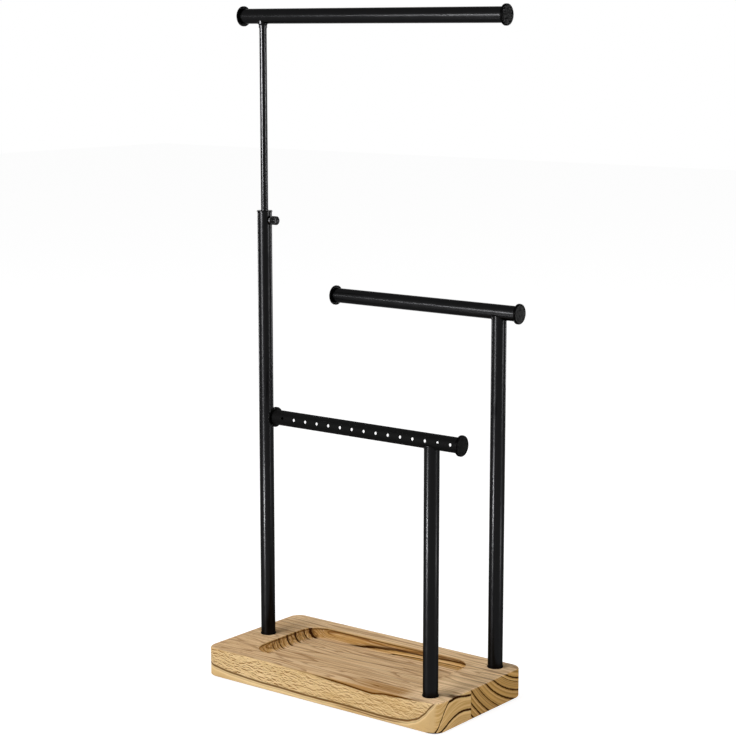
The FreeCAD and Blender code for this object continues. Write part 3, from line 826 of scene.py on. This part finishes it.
def wood_loops():
    """Loops from the underside up the outside, over the rim, and down into the tray."""
    half = size("wood_base") / 2
    loops = []

    def outside(inset, z):
        loops.append(rounded_rectangle(half.x - inset, half.y - inset, BASE_CORNER - inset, z))

    def inside(inset, z):
        half_x = TRAY_LENGTH / 2 - inset
        half_y = TRAY_WIDTH / 2 - inset
        loops.append(rounded_rectangle(half_x, half_y, TRAY_CORNER - inset, z, TRAY_OFFSET_X))

    outside(BOTTOM_EASE, 0)
    for z in span(BOTTOM_EASE, BASE_TOP - TOP_EASE, 3 * MM):
        outside(0, z)
    for degrees in range(15, 91, 15):
        angle = math.radians(degrees)
        outside(TOP_EASE * (1 - math.cos(angle)), BASE_TOP - TOP_EASE * (1 - math.sin(angle)))
    for degrees in range(0, 91, 30):
        angle = math.radians(degrees)
        inside(-TRAY_RIM_EASE * (1 - math.sin(angle)), BASE_TOP - TRAY_RIM_EASE * (1 - math.cos(angle)))
    floor_z = BASE_TOP - TRAY_DEPTH
    for k in range(COVE_STEPS + 1):
        angle = math.radians(90 * k / COVE_STEPS)
        inside(TRAY_COVE * (1 - math.cos(angle)), floor_z + TRAY_COVE * (1 - math.sin(angle)))
    return loops


def post_places():
    return [middle(name + "_post_screw") for name in ("tall", "mid", "front")]


def build_wood_base(material):
    vertices, rings = number_rings(wood_loops())
    faces = bridge(rings) + [tuple(reversed(rings[0])), tuple(rings[-1])]
    base = mesh_object("wood_base_shaped", vertices, faces, 40)
    cutters = []
    for k, post in enumerate(post_places()):
        foot = Vector((post.x, post.y, 0))
        profile = [(-CUTTER_OVERSHOOT, COUNTERBORE_RADIUS), (COUNTERBORE_DEPTH, COUNTERBORE_RADIUS),
                   (COUNTERBORE_DEPTH, WOOD_HOLE_RADIUS), (BASE_TOP + CUTTER_OVERSHOOT, WOOD_HOLE_RADIUS)]
        cutters.append(turned("post_hole_%d" % k, foot, "Z", profile, segments=64))
    cut(base, cutters)
    finish_mesh(base.data, 40)
    settle(base, material, "root", "wood", "wood_base")


# ---------------------------------------------------------------- posts
POST_RING_SHARES = (0, 0.25, 0.5, 0.7, 0.85, 0.93, 0.97, 1)
SADDLE_GAP = 0.02 * MM
BEAD_RADIUS = 0.5 * MM
BEAD_SIDES = 10


def saddle_height(y, bar_z):
    """Height at which a post's wall meets the bar, at distance y from the bar's axis."""
    drop = math.sqrt(max(TUBE_RADIUS ** 2 - y * y, 0))
    return bar_z - max(drop, EAR_TRIM)


def coped_wall(foot, radius, bar_z):
    """Loops from a post's foot up its outer or inner wall to the bar."""
    loops = []
    for share in POST_RING_SHARES:
        loop = []
        for k in range(SEGMENTS):
            angle = 2 * math.pi * k / SEGMENTS
            y = radius * math.sin(angle)
            top = saddle_height(y, bar_z) - SADDLE_GAP
            z = foot.z + (top - foot.z) * share
            loop.append(Vector((foot.x + radius * math.cos(angle), foot.y + y, z)))
        loops.append(loop)
    return loops


def build_weld_bead(name, foot, bar_z, material):
    """Thin bead of weld round the joint of a post and its bar."""
    path = []
    for k in range(SEGMENTS):
        angle = 2 * math.pi * (k + 0.5) / SEGMENTS
        y = TUBE_RADIUS * math.sin(angle)
        path.append(Vector((foot.x + TUBE_RADIUS * math.cos(angle), foot.y + y, saddle_height(y, bar_z))))
    loops = []
    for k, point in enumerate(path):
        ahead = (path[(k + 1) % SEGMENTS] - path[k - 1]).normalized()
        out = (point - Vector((foot.x, foot.y, point.z))).normalized()
        side = ahead.cross(out).normalized()
        angles = [2 * math.pi * i / BEAD_SIDES for i in range(BEAD_SIDES)]
        loops.append([point + (out * math.cos(a) + side * math.sin(a)) * BEAD_RADIUS for a in angles])
    vertices, rings = number_rings(loops)
    bead = mesh_object(name + "_weld_bead", vertices, bridge(rings, True), 80)
    settle(bead, material, "root", "black_steel")


def build_coped_post(name, bar, material):
    """Short post with a fish-mouthed top, and its weld."""
    foot = upright_axis(name + "_tube")
    foot.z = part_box(name + "_tube")[0].z
    bar_z = middle(bar).z
    inner = coped_wall(foot, BORE_RADIUS, bar_z)
    vertices, rings = number_rings(coped_wall(foot, TUBE_RADIUS, bar_z) + inner[::-1])
    post = mesh_object(name + "_tube_coped", vertices, bridge(rings, True))
    settle(post, material, "root", "black_steel", name + "_tube")
    build_weld_bead(name, foot, bar_z, material)


def build_tall_post(material):
    """Tall post with rings close together where the thumb screw's side hole is cut."""
    low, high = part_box("tall_post_tube")
    foot = upright_axis("tall_post_tube")
    screw_z = middle("thumb_screw_stud").z
    near = [screw_z + k * 0.5 * MM for k in range(-8, 9)]
    places = span(low.z, near[0], 40 * MM) + near[1:] + [high.z]
    post = tube_mesh("tall_post_tube_pierced", foot, "Z", places)
    profile = [(1 * MM, SIDE_HOLE_RADIUS), (TUBE_RADIUS + 2 * MM, SIDE_HOLE_RADIUS)]
    hole = turned("side_hole", Vector((foot.x, foot.y, screw_z)), "X", profile, segments=48)
    cut(post, [hole])
    round_normals(post, foot, "Z")
    settle(post, material, "root", "black_steel", "tall_post_tube")


# ---------------------------------------------------------------- bars
CUTTER_START = 1 * MM
HOLE_SEGMENTS = 32
HOLE_LIP_DEPTH = 0.22 * MM
HOLE_LIP_FLARE = 0.18 * MM
ROD_LEAD = 0.4 * MM


def build_plain_bar(node, body, material):
    low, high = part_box(node)
    bar = tube_mesh(node + "_smooth", lying_axis(node), "X", span(low.x, high.x, 20 * MM))
    settle(bar, material, body, "black_steel", node)


def turned_forward(points, centre):
    """Points turned about the earring bar's axis, so that its front looks up."""
    turn = Matrix.Rotation(-math.radians(EARRING_ROW_TILT_DEG), 3, "X")
    return [centre + turn @ (point - centre) for point in points]


def earring_hole_loops(x, centre):
    """Loops of the pin that cuts one hole, from inside the bar to its front, with a flared lip."""
    wide = EARRING_HOLE_RADIUS + HOLE_LIP_FLARE
    loops = []
    for distance, radius in ((CUTTER_START, EARRING_HOLE_RADIUS),
                             (TUBE_RADIUS - HOLE_LIP_DEPTH, EARRING_HOLE_RADIUS),
                             (TUBE_RADIUS + 0.1 * MM, wide), (TUBE_RADIUS + 2 * MM, wide)):
        loop = []
        for k in range(HOLE_SEGMENTS):
            angle = 2 * math.pi * k / HOLE_SEGMENTS
            loop.append(Vector((x + radius * math.cos(angle), centre.y - distance,
                                centre.z + radius * math.sin(angle))))
        loops.append(turned_forward(loop, centre))
    return loops


def earring_hole_cutter(high, centre):
    """One mesh of all the pins."""
    vertices = []
    faces = []
    for k in range(EARRING_HOLES):
        x = high.x - EARRING_END_MARGIN - k * EARRING_PITCH
        points, rings = number_rings(earring_hole_loops(x, centre))
        rings = [[number + len(vertices) for number in ring] for ring in rings]
        faces += bridge(rings) + [tuple(rings[0]), tuple(reversed(rings[-1]))]
        vertices += points
    return mesh_object("earring_holes", vertices, faces)


def back_slot_cutter(low, high, centre):
    """Block that opens the bar's back wall along the row of holes."""
    xs = (low.x + BACK_SLOT_END_MARGIN, high.x - BACK_SLOT_END_MARGIN)
    ys = (centre.y + CUTTER_START, centre.y + 2 * TUBE_RADIUS)
    zs = (centre.z - BACK_SLOT_HEIGHT / 2, centre.z + BACK_SLOT_HEIGHT / 2)
    corners = [Vector((xs[i], ys[j], z)) for z in zs for i, j in ((0, 0), (1, 0), (1, 1), (0, 1))]
    sides = [(0, 3, 2, 1), (4, 5, 6, 7), (0, 1, 5, 4), (1, 2, 6, 5), (2, 3, 7, 6), (3, 0, 4, 7)]
    return mesh_object("back_slot", turned_forward(corners, centre), sides)


def build_earring_bar(material):
    """Lower bar. Its holes look slightly up and the slot along its back slightly down."""
    low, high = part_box("earring_bar_tube")
    centre = lying_axis("earring_bar_tube")
    bar = tube_mesh("earring_bar_tube_pierced", centre, "X", span(low.x, high.x, 1.5 * MM))
    cut(bar, [earring_hole_cutter(high, centre), back_slot_cutter(low, high, centre)])
    round_normals(bar, centre, "X")
    settle(bar, material, "root", "matt_black_steel", "earring_bar_tube")


def build_rod(material):
    """Thin rod with an eased lower end."""
    low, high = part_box("inner_rod")
    profile = [(low.z, ROD_RADIUS - ROD_LEAD), (low.z + ROD_LEAD, ROD_RADIUS)]
    profile += [(z, ROD_RADIUS) for z in span(low.z + 5 * MM, high.z, 25 * MM)]
    rod = turned("inner_rod_smooth", upright_axis("inner_rod"), "Z", profile)
    settle(rod, material, "swivel_bar", "black_steel", "inner_rod")


# ---------------------------------------------------------------- thumb screw
KNURL_COUNT = 18
KNURL_STEPS = 10
KNURL_RADIUS = 0.45 * MM
NECK_LENGTH = 0.8 * MM
NECK_RADIUS = 2.5 * MM
NECK_BORE_RADIUS = 1.95 * MM
HEAD_EASE = 0.5 * MM
HEAD_EASE_STEPS = 4
DIMPLE_RADIUS = 2.2 * MM
DIMPLE_DEPTH = 0.4 * MM
THREAD_PITCH = 0.7 * MM
THREAD_DEPTH = 0.42 * MM
THREAD_STEPS = 10
STUD_SHANK_INSET = 0.1 * MM


def fluted(limit, radius):
    """Radius round the screw's head, which is cut by flutes. limit caps it near the head's two rims."""
    def at(angle):
        around = (angle * KNURL_COUNT / (2 * math.pi)) % 1.0
        aside = min(around, 1 - around) * 2 * math.pi / KNURL_COUNT * radius
        depth = math.sqrt(max(KNURL_RADIUS ** 2 - aside ** 2, 0))
        return min(limit, radius - depth)
    return at


def build_thumb_head(material):
    """Fluted head with eased rims, a neck towards the post and a dimple in its face."""
    low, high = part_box("thumb_screw_head")
    neck = low.x + NECK_LENGTH
    radius = size("thumb_screw_head").z / 2
    core = radius - HEAD_EASE

    profile = [(low.x, NECK_BORE_RADIUS), (low.x, NECK_RADIUS), (neck, NECK_RADIUS), (neck, core)]
    for k in range(1, HEAD_EASE_STEPS + 1):
        angle = math.radians(90 * k / HEAD_EASE_STEPS)
        limit = core + HEAD_EASE * math.sin(angle)
        profile.append((neck + HEAD_EASE * (1 - math.cos(angle)), fluted(limit, radius)))
    for k in range(HEAD_EASE_STEPS):
        angle = math.radians(90 * k / HEAD_EASE_STEPS)
        limit = core + HEAD_EASE * math.cos(angle)
        profile.append((high.x - HEAD_EASE * (1 - math.sin(angle)), fluted(limit, radius)))
    profile += [(high.x, core), (high.x, DIMPLE_RADIUS + 0.15 * MM), (high.x - 0.1 * MM, DIMPLE_RADIUS),
                (high.x - DIMPLE_DEPTH, DIMPLE_RADIUS - DIMPLE_DEPTH), (high.x - DIMPLE_DEPTH, 0.5 * MM)]
    head = turned("thumb_screw_head_fluted", lying_axis("thumb_screw_head"), "X", profile,
                  segments=KNURL_COUNT * KNURL_STEPS, sharp_deg=50)
    settle(head, material, "clamp_screw", "thumb_screw_black", "thumb_screw_head")


def build_thumb_stud(material):
    """Stud with a thread up to the head."""
    low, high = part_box("thumb_screw_stud")
    radius = size("thumb_screw_stud").z / 2
    thread_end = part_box("thumb_screw_head")[0].x + 0.2 * MM

    def threaded(x):
        def at(angle):
            turn = (x / THREAD_PITCH - angle / (2 * math.pi)) % 1.0
            return radius - THREAD_DEPTH * min(abs(2 * turn - 1) * 1.25, 1.0)
        return at

    profile = [(low.x, radius - THREAD_DEPTH)]
    profile += [(x, threaded(x)) for x in span(low.x + 0.1 * MM, thread_end, THREAD_PITCH / THREAD_STEPS)]
    profile += [(thread_end + 0.1 * MM, radius - STUD_SHANK_INSET), (high.x, radius - STUD_SHANK_INSET)]
    stud = turned("thumb_screw_stud_threaded", lying_axis("thumb_screw_stud"), "X", profile, segments=48,
                  sharp_deg=60)
    settle(stud, material, "clamp_screw", "screw_steel", "thumb_screw_stud")


# ---------------------------------------------------------------- scene
bpy.context.scene.view_settings.view_transform = "Standard"
add_camera()
set_world()
add_floor()
# azimuth in degrees, height and distance, the face's width and height, power in watts
add_lamp("key_front", -10, 0.8, 1.6, 0.8, 0.8, 14.5)
add_lamp("softbox_top", -30, 2.0, 0.9, 1.0, 1.0, 23)
add_lamp("fill_right", 100, 0.3, 1.5, 0.5, 0.5, 7)
add_lamp("gloss_left_low", -17, 0.02, 0.55, 0.085, 0.04, 3.1, gloss=True)
add_lamp("gloss_left_mid", -17, 0.12, 1.3, 0.2, 0.14, 5, gloss=True)
add_lamp("gloss_left_high", -17, 0.49, 1.3, 0.2, 0.22, 50, gloss=True)
add_lamp("gloss_right_low", 103, 0.02, 0.55, 0.12, 0.04, 0.35, gloss=True)
add_lamp("gloss_right_mid", 103, 0.12, 1.3, 0.25, 0.14, 2.5, gloss=True)
add_lamp("gloss_right_high", 103, 0.47, 1.3, 0.25, 0.22, 14, gloss=True)
add_lamp("gloss_bars", -33, 0.56, 1.6, 0.18, 0.07, 4.7, gloss=True)
add_lamp("gloss_back_left", 262, 0.35, 1.3, 0.2, 0.65, 22, gloss=True)
add_lamp("gloss_back_right", 165, 0.35, 1.3, 0.2, 0.65, 22, gloss=True)

looks = {
    "wood": wood_material(),
    "pad_rubber": soft_polymer("pad_rubber", (0.05, 0.05, 0.052), 0.85),
    "black_steel": satin_paint("black_steel", 0.009, 0.23),
    "matt_black_steel": grained_black("matt_black_steel", 0.0035, 0.60, 0.012),
    "black_plastic": grained_black("black_plastic", 0.001, 0.38, 0.009),
    "bush_steel": satin_paint("bush_steel", 0.009, 0.23),
    "screw_steel": plated_steel("screw_steel", (0.26, 0.26, 0.27), 0.34),
    "nylon": soft_polymer("nylon", (0.72, 0.70, 0.64), 0.5),
    "thumb_screw_black": satin_paint("thumb_screw_black", 0.0105, 0.28),
}
for part in frame["record"]["subparts"]:
    dress(part["node"], looks[part["material_slot"]])

build_wood_base(looks["wood"])
build_tall_post(looks["black_steel"])
build_coped_post("mid_post", "mid_bar_tube", looks["black_steel"])
build_coped_post("front_post", "earring_bar_tube", looks["black_steel"])
build_plain_bar("mid_bar_tube", "root", looks["black_steel"])
build_plain_bar("top_bar_tube", "swivel_bar", looks["black_steel"])
build_earring_bar(looks["matt_black_steel"])
build_rod(looks["black_steel"])
build_thumb_head(looks["thumb_screw_black"])
build_thumb_stud(looks["screw_steel"])
